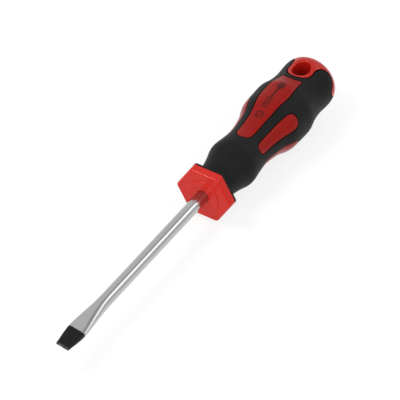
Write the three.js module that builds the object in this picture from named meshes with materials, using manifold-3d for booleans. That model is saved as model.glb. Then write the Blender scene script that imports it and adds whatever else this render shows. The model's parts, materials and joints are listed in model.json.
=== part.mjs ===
// Slotted screwdriver with a three-shot moulded handle. Millimetres, +Z up.
// The tool lies along X with its tip towards -X. Tool coordinates have x = 0 on
// the front face of the hexagonal guard and the tool's axis at y = 0, z = 0; the
// outer group then moves everything so that the origin is under the middle of
// the tool, on the surface that it lies on.
import * as THREE from 'three';
import { mergeVertices } from 'three/addons/utils/BufferGeometryUtils.js';
import Module from 'manifold-3d';

const wasm = await Module();
wasm.setup();

// ---- driving dimensions ----------------------------------------------------
const SHANK_D = 6.5;            // round steel shank
const BLADE_EXPOSED = 120;      // guard's front face to the blade's tip
const TANG_LENGTH = 66;         // steel hidden inside the handle
const TIP_WIDTH = 6.8;          // across the working edge
const TIP_THICK = 1.2;          // thickness of the working edge
const FLARE_WIDTH = 9.1;        // widest place of the flattened blade
const BLADE_ROLL = 9.5;         // degrees that the blade's flat is turned about the axis

const GUARD_AF = 26.3;          // hexagon, across flats
const GUARD_THICK = 4.5;
const GUARD_CORNER = 2.1;       // rounding of the hexagon's corners
const GUARD_EDGE = 1.0;         // rounding of its front and rear edges
const BOSS_R = 8.6;             // round boss on the guard's front face
const BOSS_HEIGHT = 0.6;
const FLANGE_THICK = 0.9;       // soft flange behind the guard

const GAP = 0.3;                // clearance between neighbouring pieces
const SKIN = 2.4;               // thickness of the soft sleeve and of the inlays
const CORE_END = 79.0;          // rear end of the inner core

// outer radius of the handle against distance behind the guard's front face
const PROFILE = [
  [6.4, 8.9], [9.0, 9.05], [12.5, 9.65], [17, 10.5], [21, 11.5], [24, 12.4], [26.5, 12.72],
  [29, 12.52], [33, 11.94], [38, 11.48], [43, 11.66], [48, 12.4], [53, 13.6], [56, 14.8],
  [59, 15.65], [63, 15.9], [69, 16.05], [73, 15.88], [76, 15.05], [79, 14.4], [84, 13.8],
  [89, 13.88], [93, 14.05], [96, 13.72], [98, 12.92], [99.6, 11.65], [101, 9.75], [102.1, 6.8],
  [102.75, 0],
];
const HANDLE_END = PROFILE[PROFILE.length - 1][0];
const GRIP_MAX_R = Math.max(...PROFILE.map((p) => p[1]));

// inlays: centre line stations and half-widths, measured square to the inlay
const LONG_INLAY = [
  [34.0, 1.7], [34.7, 2.9], [36.2, 3.8], [38.5, 4.15], [44, 4.3], [50, 4.7], [55, 5.5],
  [59, 6.15], [63, 6.6], [66, 6.75], [70, 6.65], [74, 6.2], [78.0, 5.45],
];
const LONG_REAR_ARC_R = 8.9;   // rear edge of the long inlays, about the hang hole
const SIDE_INLAY = [
  [35.1, 1.2], [35.7, 2.1], [37.0, 2.7], [39.5, 2.95], [45, 3.15], [50, 3.5], [55, 4.0],
  [58, 4.15], [60.0, 3.75], [61.3, 2.8], [61.9, 1.5],
];
const PATTERN_ROLL = -2.5;      // degrees that the inlays and the butt sit round from the guard's flats

const HOLE_X = 88;              // middle of the hard ring round the hang hole
const HOLE_SHIFT = 0.9;         // the hang hole's middle is a little behind the ring's
const HOLE_R = 4.05;            // hang hole through the butt, half its width
const HOLE_STRETCH = 1.25;      // its length along the tool against its width
const HOLE_MOUTH_R = 5.0;
const RING_R = 6.4;             // hard ring round the hang hole
const LOBE_END = 97.3;          // rear end of the soft sleeve
const LOBE_CORNER = 6.5;        // rounding of the sleeve's rear corners beside the ring
// scallop in the sleeve's rear edge on each side: x against distance from the middle
const SCALLOP = [[92.8, 0], [93.0, 1.0], [93.6, 2.0], [94.5, 3.0], [95.4, 4.1], [96.2, 5.4], [96.8, 7.0], [97.2, 9.0]];

const SEG = 32;                 // sides of a turned surface
const WALL_SEG = 24;

// ---- helpers ---------------------------------------------------------------
function lerpTable(table, x) {
  if (x <= table[0][0]) return table[0][1];
  for (let i = 1; i < table.length; i++) {
    const [x1, y1] = table[i];
    if (x <= x1) {
      const [x0, y0] = table[i - 1];
      return y0 + ((y1 - y0) * (x - x0)) / (x1 - x0);
    }
  }
  return table[table.length - 1][1];
}

// a closed mesh to a solid, with its shared vertices merged and its faces out
function solid(geometry) {
  const g = geometry.clone();
  for (const name of Object.keys(g.attributes)) if (name !== 'position') g.deleteAttribute(name);
  const m = mergeVertices(g, 1e-4);
  const idx = m.index.array;
  const tri = [];
  for (let i = 0; i < idx.length; i += 3) {
    const [a, b, c] = [idx[i], idx[i + 1], idx[i + 2]];
    if (a !== b && b !== c && a !== c) tri.push(a, b, c);
  }
  const p = m.attributes.position.array;
  let vol = 0;
  for (let i = 0; i < tri.length; i += 3) {
    const a = tri[i] * 3, b = tri[i + 1] * 3, c = tri[i + 2] * 3;
    vol += p[a] * (p[b + 1] * p[c + 2] - p[b + 2] * p[c + 1])
      - p[a + 1] * (p[b] * p[c + 2] - p[b + 2] * p[c])
      + p[a + 2] * (p[b] * p[c + 1] - p[b + 1] * p[c]);
  }
  if (vol < 0) for (let i = 0; i < tri.length; i += 3) [tri[i + 1], tri[i + 2]] = [tri[i + 2], tri[i + 1]];
  return new wasm.Manifold(new wasm.Mesh({
    numProp: 3,
    vertProperties: new Float32Array(p),
    triVerts: new Uint32Array(tri),
  }));
}

function geometryOf(manifold) {
  const mesh = manifold.getMesh();
  const g = new THREE.BufferGeometry();
  const pos = new Float32Array(mesh.numVert * 3);
  for (let i = 0; i < mesh.numVert; i++) {
    for (let k = 0; k < 3; k++) pos[i * 3 + k] = mesh.vertProperties[i * mesh.numProp + k];
  }
  g.setAttribute('position', new THREE.BufferAttribute(pos, 3));
  g.setIndex(Array.from(mesh.triVerts));
  g.computeVertexNormals();
  return g;
}

// a body of revolution about X; points are [x, r], from axis to axis or closed
function turned(points, seg = SEG) {
  const g = new THREE.LatheGeometry(points.map(([x, r]) => new THREE.Vector2(r, x)), seg);
  g.rotateZ(-Math.PI / 2);
  return g;
}

// a body through rings of points that all have the same number of points
function lofted(rings) {
  const n = rings[0].length;
  const pos = [];
  for (const ring of rings) for (const p of ring) pos.push(...p);
  const centre = (ring) => ring.reduce((a, p) => [a[0] + p[0] / n, a[1] + p[1] / n, a[2] + p[2] / n], [0, 0, 0]);
  const first = pos.length / 3;
  pos.push(...centre(rings[0]), ...centre(rings[rings.length - 1]));
  const idx = [];
  for (let i = 0; i + 1 < rings.length; i++) {
    for (let j = 0; j < n; j++) {
      const a = i * n + j, b = i * n + ((j + 1) % n), c = a + n, d = b + n;
      idx.push(a, b, d, a, d, c);
    }
  }
  const last = (rings.length - 1) * n;
  for (let j = 0; j < n; j++) {
    idx.push(first, (j + 1) % n, j);
    idx.push(first + 1, last + j, last + ((j + 1) % n));
  }
  const g = new THREE.BufferGeometry();
  g.setAttribute('position', new THREE.BufferAttribute(new Float32Array(pos), 3));
  g.setIndex(idx);
  return g;
}

// superellipse section across the axis: half-width along y, half-thickness along z
function section(x, hw, ht, power, seg = WALL_SEG) {
  const ring = [];
  for (let j = 0; j < seg; j++) {
    const a = (2 * Math.PI * j) / seg;
    const c = Math.cos(a), s = Math.sin(a);
    ring.push([x, hw * Math.sign(c) * Math.abs(c) ** (2 / power), ht * Math.sign(s) * Math.abs(s) ** (2 / power)]);
  }
  return ring;
}

// a straight prism whose outline is drawn in x and a width direction, extruded
// outwards from the axis along the direction at `angle` degrees up from +Y
function prism(outline, angle, from, to) {
  const shape = new THREE.Shape(outline.map(([x, w]) => new THREE.Vector2(x, w)));
  const g = new THREE.ExtrudeGeometry(shape, { depth: to - from, bevelEnabled: false, curveSegments: 1 });
  g.translate(0, 0, from);
  g.rotateX(((angle - 90) * Math.PI) / 180);
  return g;
}

function inlayOutline(table, off, rearArc) {
  const upper = table.map(([x, w], i) => {
    const end = i === 0 ? -off : (i === table.length - 1 ? off : 0);
    return [x + end, w + off];
  });
  const outline = upper.map(([x, w]) => [x, -w]);
  if (rearArc) {
    // concave rear edge, part of a circle about the hang hole
    const r = LONG_REAR_ARC_R - off;
    const w = upper[upper.length - 1][1];
    outline.pop();
    upper.pop();
    const a = Math.asin(w / r);
    for (let i = 0; i <= 6; i++) {
      const t = -a + (2 * a * i) / 6;
      outline.push([HOLE_X - r * Math.cos(t), r * Math.sin(t)]);
    }
  }
  for (let i = upper.length - 1; i >= 0; i--) outline.push(upper[i]);
  return outline;
}

// hard area of the butt as seen along Z: the ring, the spine and the flared end
function buttOutline(off) {
  const half = [];
  const r = RING_R + off;
  for (let i = 0; i <= 9; i++) {
    const a = Math.PI - (Math.PI / 2) * (i / 9);
    half.push([HOLE_X + r * Math.cos(a), r * Math.sin(a)]);
  }
  const c = LOBE_CORNER - off;
  const xEnd = LOBE_END - off;
  for (let i = 0; i <= 5; i++) {
    const a = (Math.PI / 2) * (i / 5);
    half.push([xEnd - c + c * Math.sin(a), r + c - c * Math.cos(a)]);
  }
  half.push([xEnd, 20], [HANDLE_END + 3, 20]);
  const outline = half.slice();
  for (let i = half.length - 1; i >= 0; i--) if (half[i][1] > 1e-6) outline.push([half[i][0], -half[i][1]]);
  return outline;
}

// hard area of the butt as seen from the side: the scallops
function scallopOutline(off) {
  const half = SCALLOP.map(([x, z]) => [x - off, z + (z > 0 ? off * 0.3 : 0)]);
  half.push([HANDLE_END + 3, half[half.length - 1][1]]);
  const outline = half.slice();
  for (let i = half.length - 1; i > 0; i--) outline.push([half[i][0], -half[i][1]]);
  return outline;
}

const outerPoints = PROFILE.map(([x, r]) => [x, r]);
const outer = solid(turned([[PROFILE[0][0], 0], ...outerPoints]));

// inner face of the sleeve and of the inlays
const INNER_STATIONS = [6.4, 17, 26.5, 38, 48, 59, 73, 79, 84, 89, 96];
const innerAt = (x) => lerpTable(PROFILE, x) - SKIN;
function innerBody(shrink, x0, x1) {
  const st = [x0, ...INNER_STATIONS.filter((x) => x > x0 + 0.2 && x < x1 - 0.2), x1];
  return [[x0, 0], ...st.map((x) => [x, innerAt(x) - shrink]), [x1, 0]];
}

// hexagon with flats facing up and down and rounded corners, drawn in y and z
function hexShape(af, corner) {
  const R = af / Math.sqrt(3);
  const pts = [];
  for (let i = 0; i < 6; i++) {
    const a = (i * Math.PI) / 3;
    const d = corner / Math.cos(Math.PI / 6);
    const c = [(R - d) * Math.cos(a), (R - d) * Math.sin(a)];
    for (let k = -1; k <= 1; k++) {
      const b = a + (k * Math.PI) / 6;
      pts.push(new THREE.Vector2(c[0] + corner * Math.cos(b), c[1] + corner * Math.sin(b)));
    }
  }
  return new THREE.Shape(pts);
}

// extrusion along +X from x0 of a shape drawn in y and z
function alongX(shape, x0, length, bevel) {
  const g = new THREE.ExtrudeGeometry(shape, {
    depth: length - 2 * bevel, bevelEnabled: bevel > 0, bevelThickness: bevel, bevelSize: bevel,
    bevelOffset: -bevel, bevelSegments: 2, curveSegments: 1,
  });
  g.translate(0, 0, bevel);
  // shape x -> y, shape y -> z, depth -> x
  const m = new THREE.Matrix4().set(0, 0, 1, x0, 1, 0, 0, 0, 0, 1, 0, 0, 0, 0, 0, 1);
  g.applyMatrix4(m);
  return g;
}

// ---- blade: one steel piece, from the working edge to the end of the tang --
const RS = SHANK_D / 2;
const TIP = -BLADE_EXPOSED;
function bladeRings(extra, from) {
  const e = extra;
  return [
    section(TIP, TIP_WIDTH / 2 - 0.25, TIP_THICK / 2 - 0.12, 7),
    section(TIP + 0.3, TIP_WIDTH / 2, TIP_THICK / 2, 7),
    section(TIP + 5, 3.95, 0.98, 6),
    section(TIP + 10, FLARE_WIDTH / 2 - 0.1, 1.4, 5),
    section(TIP + 12.5, FLARE_WIDTH / 2, 1.62, 4.5),
    section(TIP + 16, 4.45, 1.92, 3.8),
    section(TIP + 21, 4.08, 2.35, 3),
    section(TIP + 27, 3.65, 2.8, 2.4),
    section(TIP + 34, RS + 0.04, 3.15, 2.1),
    section(TIP + 37, RS, RS, 2),
    section(30, RS, RS, 2),
    section(33, RS, RS, 2),
    // two pairs of pressed wings that stop the tang turning in the core
    section(36, 4.7, 2.2, 2.6), section(42, 4.7, 2.2, 2.6), section(45, RS, RS, 2),
    section(48, RS, RS, 2), section(51, 4.7, 2.2, 2.6), section(57, 4.7, 2.2, 2.6), section(60, RS, RS, 2),
    section(TANG_LENGTH - 1, RS, RS, 2),
    section(TANG_LENGTH, RS - 0.9, RS - 0.9, 2),
  ].filter((ring) => ring[0][0] >= from)
    .map((ring) => ring.map(([x, y, z]) => {
      const l = Math.hypot(y, z);
      return [x, y * (1 + e / l), z * (1 + e / l)];
    }));
}
const roll = new THREE.Matrix4().makeRotationX((BLADE_ROLL * Math.PI) / 180);
const blade = solid(lofted(bladeRings(0, -1e9)).applyMatrix4(roll));

// room for the tang inside the core, open at the front
const tangRings = bladeRings(GAP, 30);
tangRings.unshift(section(-10, RS + GAP, RS + GAP, 2));
tangRings[tangRings.length - 1] = section(TANG_LENGTH + GAP, RS - 0.6, RS - 0.6, 2);
const tangRoom = solid(lofted(tangRings).applyMatrix4(roll));

// ---- inner core: moulded round the tang, carries everything else -----------
const SPIGOT_R = 6.2, SPIGOT_FRONT = 2.6, TAIL_R = 5.8, TAIL_END = 81.2;
let core = solid(turned(innerBody(GAP, GUARD_THICK + GAP * 2 + 0.6, CORE_END)));
core = core.add(solid(turned([[SPIGOT_FRONT, 0], [SPIGOT_FRONT, SPIGOT_R - 0.5], [SPIGOT_FRONT + 0.5, SPIGOT_R],
  [10, SPIGOT_R], [10, 0]], WALL_SEG)));
core = core.add(solid(turned([[70, 0], [70, TAIL_R], [TAIL_END - 0.5, TAIL_R], [TAIL_END, TAIL_R - 0.5], [TAIL_END, 0]], WALL_SEG)));
core = core.subtract(tangRoom);

// ---- hexagonal guard -------------------------------------------------------
let guard = solid(alongX(hexShape(GUARD_AF, GUARD_CORNER), 0, GUARD_THICK, GUARD_EDGE));
guard = guard.add(solid(turned([[-BOSS_HEIGHT, 0], [-BOSS_HEIGHT, BOSS_R - 0.9], [-BOSS_HEIGHT + 0.35, BOSS_R - 0.25],
  [0, BOSS_R], [1, BOSS_R], [1, 0]], SEG)));
guard = guard.subtract(solid(turned([[-5, 0], [-5, RS + GAP], [SPIGOT_FRONT - GAP, RS + GAP], [SPIGOT_FRONT - GAP, SPIGOT_R + GAP],
  [10, SPIGOT_R + GAP], [10, 0]], WALL_SEG)));

// ---- soft sleeve with its flange, windows and rear lobes -------------------
const skin = outer.subtract(solid(turned(innerBody(0, 0, 97.2))));
let sleeve = solid(turned([[GUARD_THICK + GAP, 0], [GUARD_THICK + GAP, PROFILE[0][1]], ...outerPoints.slice(1), [HANDLE_END, 0]]
  .filter((p, i, all) => i === 0 || p[0] !== all[i - 1][0] || p[1] !== all[i - 1][1])));
sleeve = sleeve.add(solid(alongX(hexShape(GUARD_AF, GUARD_CORNER), GUARD_THICK + GAP, FLANGE_THICK, 0.3)));
sleeve = sleeve.subtract(solid(turned(innerBody(0, 0, 99))));
const inlays = [
  ['long_inlay_top', LONG_INLAY, 90 + PATTERN_ROLL, true],
  ['long_inlay_bottom', LONG_INLAY, -90 + PATTERN_ROLL, true],
  ['side_inlay_front_upper', SIDE_INLAY, 150 + PATTERN_ROLL, false],
  ['side_inlay_front_lower', SIDE_INLAY, 210 + PATTERN_ROLL, false],
  ['side_inlay_back_upper', SIDE_INLAY, 30 + PATTERN_ROLL, false],
  ['side_inlay_back_lower', SIDE_INLAY, -30 + PATTERN_ROLL, false],
];
const inlaySolids = {};
for (const [name, table, angle, rear] of inlays) {
  inlaySolids[name] = skin.intersect(solid(prism(inlayOutline(table, 0, rear), angle, 4, 20)));
  sleeve = sleeve.subtract(solid(prism(inlayOutline(table, GAP, rear), angle, 4, 20)));
}
sleeve = sleeve.subtract(solid(prism(buttOutline(GAP), 90 + PATTERN_ROLL, -20, 20)));
sleeve = sleeve.subtract(solid(prism(scallopOutline(GAP), PATTERN_ROLL, -20, 20)));

// ---- hard butt with the hang hole ------------------------------------------
const CAP_FRONT = CORE_END + GAP;
let butt = outer.intersect(solid(turned([[CAP_FRONT, 0], [CAP_FRONT, 20], [110, 20], [110, 0]])));
// recesses for the sleeve's lobes
const lobeRoom = solid(turned([[0, 0], [0, 20], [110, 20], [110, 0]]))
  .subtract(solid(turned(innerBody(GAP, 1, 97.4))))
  .subtract(solid(prism(buttOutline(0), 90 + PATTERN_ROLL, -25, 25)))
  .subtract(solid(prism(scallopOutline(0), PATTERN_ROLL, -25, 25)));
butt = butt.subtract(lobeRoom);
// socket for the core's tail
butt = butt.subtract(solid(turned([[60, 0], [60, TAIL_R + GAP], [TAIL_END + GAP, TAIL_R + GAP], [TAIL_END + GAP, 0]], WALL_SEG)));
// hang hole with flared mouths
const mouth = innerAt(HOLE_X) + SKIN;
const holeCut = new THREE.LatheGeometry([[0, -20], [HOLE_MOUTH_R + 1.2, -20], [HOLE_MOUTH_R + 0.2, -mouth], [HOLE_R + 0.35, -mouth + 1.2],
  [HOLE_R, -mouth + 2.6], [HOLE_R, mouth - 2.6], [HOLE_R + 0.35, mouth - 1.2], [HOLE_MOUTH_R + 0.2, mouth],
  [HOLE_MOUTH_R + 1.2, 20], [0, 20]].map(([r, z]) => new THREE.Vector2(r, z)), WALL_SEG);
holeCut.rotateX(Math.PI / 2);
holeCut.scale(HOLE_STRETCH, 1, 1);
holeCut.rotateX((PATTERN_ROLL * Math.PI) / 180);
holeCut.translate(HOLE_X + HOLE_SHIFT, 0, 0);
butt = butt.subtract(solid(holeCut));

// ---- the assembly ----------------------------------------------------------
const steel = { color: 0xb4b6b8, roughness: 0.18, metalness: 1.0 };
const red = { color: 0xc22c24, roughness: 0.3, metalness: 0.0 };
const darkRed = { color: 0x9c1f19, roughness: 0.3, metalness: 0.0 };
const black = { color: 0x242626, roughness: 0.6, metalness: 0.0 };
const grey = { color: 0x3a3c3e, roughness: 0.5, metalness: 0.0 };

const tool = new THREE.Group();
function place(name, manifold, look) {
  const mesh = new THREE.Mesh(geometryOf(manifold), new THREE.MeshStandardMaterial(look));
  mesh.name = name;
  tool.add(mesh);
}
place('blade', blade, steel);
place('handle_core', core, grey);
place('hex_guard', guard, red);
place('soft_grip', sleeve, black);
for (const [name] of inlays) place(name, inlaySolids[name], darkRed);
place('butt_cap', butt, red);
tool.position.set((BLADE_EXPOSED - HANDLE_END) / 2, 0, GRIP_MAX_R);

const assembly = new THREE.Group();
assembly.add(tool);
export default assembly;
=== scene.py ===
import json
import math

import bpy
import numpy as np
from mathutils import Matrix, Vector
from mathutils.geometry import delaunay_2d_cdt

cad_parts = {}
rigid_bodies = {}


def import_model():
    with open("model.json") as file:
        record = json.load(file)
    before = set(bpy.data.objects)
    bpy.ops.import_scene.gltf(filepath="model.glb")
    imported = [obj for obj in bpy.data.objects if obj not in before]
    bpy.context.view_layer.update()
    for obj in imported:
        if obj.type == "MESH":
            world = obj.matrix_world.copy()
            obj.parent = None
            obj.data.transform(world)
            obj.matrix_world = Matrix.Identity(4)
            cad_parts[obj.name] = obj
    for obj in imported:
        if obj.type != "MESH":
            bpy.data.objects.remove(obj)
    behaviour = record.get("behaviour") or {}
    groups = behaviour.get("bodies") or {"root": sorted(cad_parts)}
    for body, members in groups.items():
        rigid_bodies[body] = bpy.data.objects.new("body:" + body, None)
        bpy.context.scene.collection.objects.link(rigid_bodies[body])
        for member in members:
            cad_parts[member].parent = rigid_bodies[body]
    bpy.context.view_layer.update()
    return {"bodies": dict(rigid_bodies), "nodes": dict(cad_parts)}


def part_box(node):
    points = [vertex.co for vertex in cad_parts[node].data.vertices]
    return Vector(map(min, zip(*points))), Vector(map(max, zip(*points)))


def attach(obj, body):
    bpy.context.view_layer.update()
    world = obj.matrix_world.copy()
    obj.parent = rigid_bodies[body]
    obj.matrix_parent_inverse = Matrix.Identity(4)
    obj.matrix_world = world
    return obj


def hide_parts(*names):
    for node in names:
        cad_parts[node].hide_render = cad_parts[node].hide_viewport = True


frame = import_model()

BODY = list(frame["bodies"])[0]

# ---------------------------------------------------------------------------
# Tool coordinates: millimetres, x = 0 on the guard's front face and positive
# towards the butt, the axis at y = z = 0. Everything is placed from the frame.
# ---------------------------------------------------------------------------
g_lo, g_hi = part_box("hex_guard")
b_lo, b_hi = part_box("blade")
s_lo, s_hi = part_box("soft_grip")
BOSS_HEIGHT = 0.6
AXIS_Z = (g_lo.z + g_hi.z) / 2 * 1000
ZERO_X = g_lo.x * 1000 + BOSS_HEIGHT
GUARD_AF = (g_hi.z - g_lo.z) * 1000
GUARD_THICK = g_hi.x * 1000 - ZERO_X
TIP = b_lo.x * 1000 - ZERO_X
FLANGE_FRONT = s_lo.x * 1000 - ZERO_X - 0.12
FLANGE_REAR = FLANGE_FRONT + 1.02
HEX_CORNER = 2.1


def world(points):
    p = np.asarray(points, float)
    return np.stack([p[:, 0] + ZERO_X, p[:, 1], p[:, 2] + AXIS_Z], -1) / 1000.0


# ---- the handle's outer profile --------------------------------------------
PROFILE = [
    (6.4, 8.9), (9.0, 9.05), (12.5, 9.65), (17, 10.5), (21, 11.5), (24, 12.4), (26.5, 12.72),
    (29, 12.52), (33, 11.94), (38, 11.48), (43, 11.66), (48, 12.4), (53, 13.6), (56, 14.8),
    (59, 15.65), (63, 15.9), (69, 16.04), (73, 15.85), (76, 15.05), (79, 14.4), (84, 13.8),
    (89, 13.87), (93, 14.03), (96, 13.7), (98, 12.92), (99.6, 11.65), (101, 9.75), (102.1, 6.8),
    (102.74, 0),
]


def spline(t, y):
    """Natural cubic spline through (t, y); returns a function that gives the value and the slope."""
    t, y = np.asarray(t, float), np.asarray(y, float)
    n = len(t)
    h = np.diff(t)
    a = np.zeros((n, n))
    b = np.zeros(n)
    a[0, 0] = a[-1, -1] = 1
    for i in range(1, n - 1):
        a[i, i - 1], a[i, i], a[i, i + 1] = h[i - 1], 2 * (h[i - 1] + h[i]), h[i]
        b[i] = 6 * ((y[i + 1] - y[i]) / h[i] - (y[i] - y[i - 1]) / h[i - 1])
    m = np.linalg.solve(a, b)

    def f(q):
        q = np.asarray(q, float)
        i = np.clip(np.searchsorted(t, q) - 1, 0, n - 2)
        u, v = t[i + 1] - q, q - t[i]
        value = (m[i] * u**3 + m[i + 1] * v**3) / (6 * h[i]) + (y[i] / h[i] - m[i] * h[i] / 6) * u + (y[i + 1] / h[i] - m[i + 1] * h[i] / 6) * v
        slope = (-m[i] * u**2 + m[i + 1] * v**2) / (2 * h[i]) - (y[i] / h[i] - m[i] * h[i] / 6) + (y[i + 1] / h[i] - m[i + 1] * h[i] / 6)
        return value, slope

    return f


_pts = np.array(PROFILE, float)
_mirror = _pts[-2:-6:-1] * [1, -1]
_all = np.vstack([_pts, _mirror])
_u = np.concatenate([[0], np.cumsum(np.hypot(*np.diff(_all, axis=0).T))])
_fx, _fr = spline(_u, _all[:, 0]), spline(_u, _all[:, 1])
_uq = np.linspace(0, _u[len(_pts) - 1], 6000)
_px, _pdx = _fx(_uq)
_pr, _pdr = _fr(_uq)
_px = np.minimum(_px, PROFILE[-1][0])
_pr = np.maximum(_pr, 0)
_arc = np.concatenate([[0], np.cumsum(np.hypot(np.diff(_px), np.diff(_pr)))])
_sig = _arc[-1] - _arc  # distance from the pole
_len = np.hypot(_pdx, _pdr)
_nx, _nr = -_pdr / _len, _pdx / _len  # outward normal in the (x, r) plane


def r_at(x):
    return np.interp(x, _px, _pr)


def sigma_at(x):
    return np.interp(x, _px, _sig)


class ChartX:
    """The handle's surface unrolled as x and angle, for the long middle."""

    REF = 14.0

    def to3d(self, c, depth=0.0):
        c = np.asarray(c, float)
        x, psi = c[:, 0], c[:, 1] / self.REF
        r = np.interp(x, _px, _pr)
        nx, nr = np.interp(x, _px, _nx), np.interp(x, _px, _nr)
        ln = np.hypot(nx, nr)
        nx, nr = nx / ln, nr / ln
        n = np.stack([nx, nr * np.cos(psi), nr * np.sin(psi)], -1)
        p = np.stack([x, r * np.cos(psi), r * np.sin(psi)], -1)
        return p - n * np.reshape(depth, (-1, 1)), n

    def to2d(self, p, near=None):
        psi = np.arctan2(p[:, 2], p[:, 1])
        if near is not None:
            psi = psi + 2 * np.pi * np.round((near / self.REF - psi) / (2 * np.pi))
        return np.stack([p[:, 0], psi * self.REF], -1)


class ChartPole:
    """The handle's surface as distance from the butt's pole and angle, laid flat."""

    def to3d(self, c, depth=0.0):
        c = np.asarray(c, float)
        sg = np.hypot(c[:, 0], c[:, 1])
        psi = np.arctan2(c[:, 1], c[:, 0])
        x = np.interp(sg, _sig[::-1], _px[::-1])
        r = np.interp(sg, _sig[::-1], _pr[::-1])
        nx, nr = np.interp(sg, _sig[::-1], _nx[::-1]), np.interp(sg, _sig[::-1], _nr[::-1])
        ln = np.hypot(nx, nr)
        nx, nr = nx / ln, nr / ln
        n = np.stack([nx, nr * np.cos(psi), nr * np.sin(psi)], -1)
        p = np.stack([x, r * np.cos(psi), r * np.sin(psi)], -1)
        return p - n * np.reshape(depth, (-1, 1)), n

    def to2d(self, p, near=None):
        psi = np.arctan2(p[:, 2], p[:, 1])
        r = np.hypot(p[:, 1], p[:, 2])
        # nearest place on the profile: by x where it is shallow, by radius near the pole
        sx = np.interp(p[:, 0], _px, _sig)
        k = len(_pr) - 1 - np.argmax(_pr[::-1] > 12.0)
        sr = np.interp(r, _pr[k:][::-1], _sig[k:][::-1])
        w = np.clip((p[:, 0] - 98.6) / 1.2, 0, 1)
        sg = sx * (1 - w) + sr * w
        return np.stack([sg * np.cos(psi), sg * np.sin(psi)], -1)


def resample(poly, step, closed=True):
    p = np.asarray(poly, float)
    if closed:
        p = np.vstack([p, p[:1]])
    d = np.concatenate([[0], np.cumsum(np.linalg.norm(np.diff(p, axis=0), axis=1))])
    n = max(8, int(round(d[-1] / step)))
    q = np.linspace(0, d[-1], n + 1)
    out = np.stack([np.interp(q, d, p[:, k]) for k in range(p.shape[1])], -1)
    return out[:-1] if closed else out


def smooth_closed(p, times):
    for _ in range(times):
        p = 0.25 * np.roll(p, 1, 0) + 0.5 * p + 0.25 * np.roll(p, -1, 0)
    return p


def inside(poly, pts):
    x, y = pts[:, 0], pts[:, 1]
    res = np.zeros(len(pts), bool)
    a = np.asarray(poly)
    b = np.roll(a, -1, 0)
    for (x0, y0), (x1, y1) in zip(a, b):
        hit = (y0 > y) != (y1 > y)
        if hit.any():
            with np.errstate(divide="ignore", invalid="ignore"):
                xc = (x1 - x0) * (y - y0) / (y1 - y0) + x0
            res ^= hit & (x < xc)
    return res


def dist_to(poly, pts, closed=True):
    a = np.asarray(poly)
    b = np.roll(a, -1, 0) if closed else a[1:]
    a = a if closed else a[:-1]
    best = np.full(len(pts), 1e9)
    for p0, p1 in zip(a, b):
        e = p1 - p0
        l2 = max(e @ e, 1e-12)
        t = np.clip(((pts - p0) @ e) / l2, 0, 1)
        best = np.minimum(best, np.linalg.norm(pts - p0 - t[:, None] * e, axis=1))
    return best


def triangulate(points, edges, keep):
    """Constrained triangles over 2D points; keep(centroids) says which stay. Returns index triples into points."""
    out = delaunay_2d_cdt([Vector((float(a), float(b))) for a, b in points], [tuple(map(int, e)) for e in edges], [], 0, 1e-7)
    verts, _, faces, orig = out[0], out[1], out[2], out[3]
    back = np.array([o[0] if len(o) else -1 for o in orig])
    if (back < 0).any():
        raise RuntimeError("the triangulation made a point of its own")
    tri = np.array([list(f) for f in faces if len(f) == 3], int)
    v = np.array([[p[0], p[1]] for p in verts])
    c = v[tri].mean(1)
    area = np.cross(v[tri[:, 1]] - v[tri[:, 0]], v[tri[:, 2]] - v[tri[:, 0]])
    tri = tri[keep(c) & (np.abs(area) > 1e-9)]
    area = np.cross(v[tri[:, 1]] - v[tri[:, 0]], v[tri[:, 2]] - v[tri[:, 0]])
    flip = area < 0
    tri[flip] = tri[flip][:, [0, 2, 1]]
    return back[tri]


class Builder:
    """Collects vertices with their normals, and faces."""

    def __init__(self):
        self.v, self.n, self.f = [], [], []
        self.count = 0

    def add(self, p, n):
        p, n = np.asarray(p, float), np.asarray(n, float)
        self.v.append(p)
        self.n.append(n / np.maximum(np.linalg.norm(n, axis=1, keepdims=True), 1e-9))
        ids = np.arange(self.count, self.count + len(p))
        self.count += len(p)
        return ids

    def tris(self, t):
        self.f.extend(map(tuple, np.asarray(t, int).tolist()))

    def bridge(self, a, b, flip=False):
        """Quads between two closed rings of the same length."""
        a2, b2 = np.roll(a, -1), np.roll(b, -1)
        q = np.stack([a, a2, b2, b], -1)
        if flip:
            q = q[:, ::-1]
        self.f.extend(map(tuple, q.tolist()))

    def fan(self, ring, centre, normal, flip=False):
        c = self.add([centre], [normal])[0]
        t = np.stack([ring, np.roll(ring, -1), np.full(len(ring), c)], -1)
        if flip:
            t = t[:, ::-1]
        self.f.extend(map(tuple, t.tolist()))

    def mesh(self, name, outward=True, sharp=None):
        v, n = np.vstack(self.v), np.vstack(self.n)
        me = bpy.data.meshes.new(name)
        me.from_pydata(world(v).tolist(), [], self.f)
        me.validate()
        # faces must point out: the sign of the enclosed volume says whether to flip them all
        me.update()
        vol = 0.0
        co = world(v)
        for f in self.f:
            p0 = co[f[0]]
            for k in range(1, len(f) - 1):
                vol += np.dot(p0, np.cross(co[f[k]], co[f[k + 1]]))
        if vol < 0:
            me.flip_normals()
        me.polygons.foreach_set("use_smooth", [True] * len(me.polygons))
        me.normals_split_custom_set_from_vertices(n.tolist())
        me.update()
        return me


def fillet_rings(bl, inner, n_in, m, radius, steps, boundary_depth, ids_in, flip):
    """Rolls the edge over from the inner ring to the boundary, then runs the wall down. Returns the lowest ring."""
    prev = ids_in
    for k in range(1, steps + 1):
        a = math.pi / 2 * k / steps
        p = inner - n_in * radius * (1 - math.cos(a)) - m * radius * math.sin(a)
        nn = n_in * math.cos(a) - m * math.sin(a)
        ids = bl.add(p, nn)
        bl.bridge(prev, ids, flip)
        prev = ids
    p = inner - n_in * boundary_depth - m * radius
    ids = bl.add(p, -m)
    bl.bridge(prev, ids, flip)
    return ids


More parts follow.
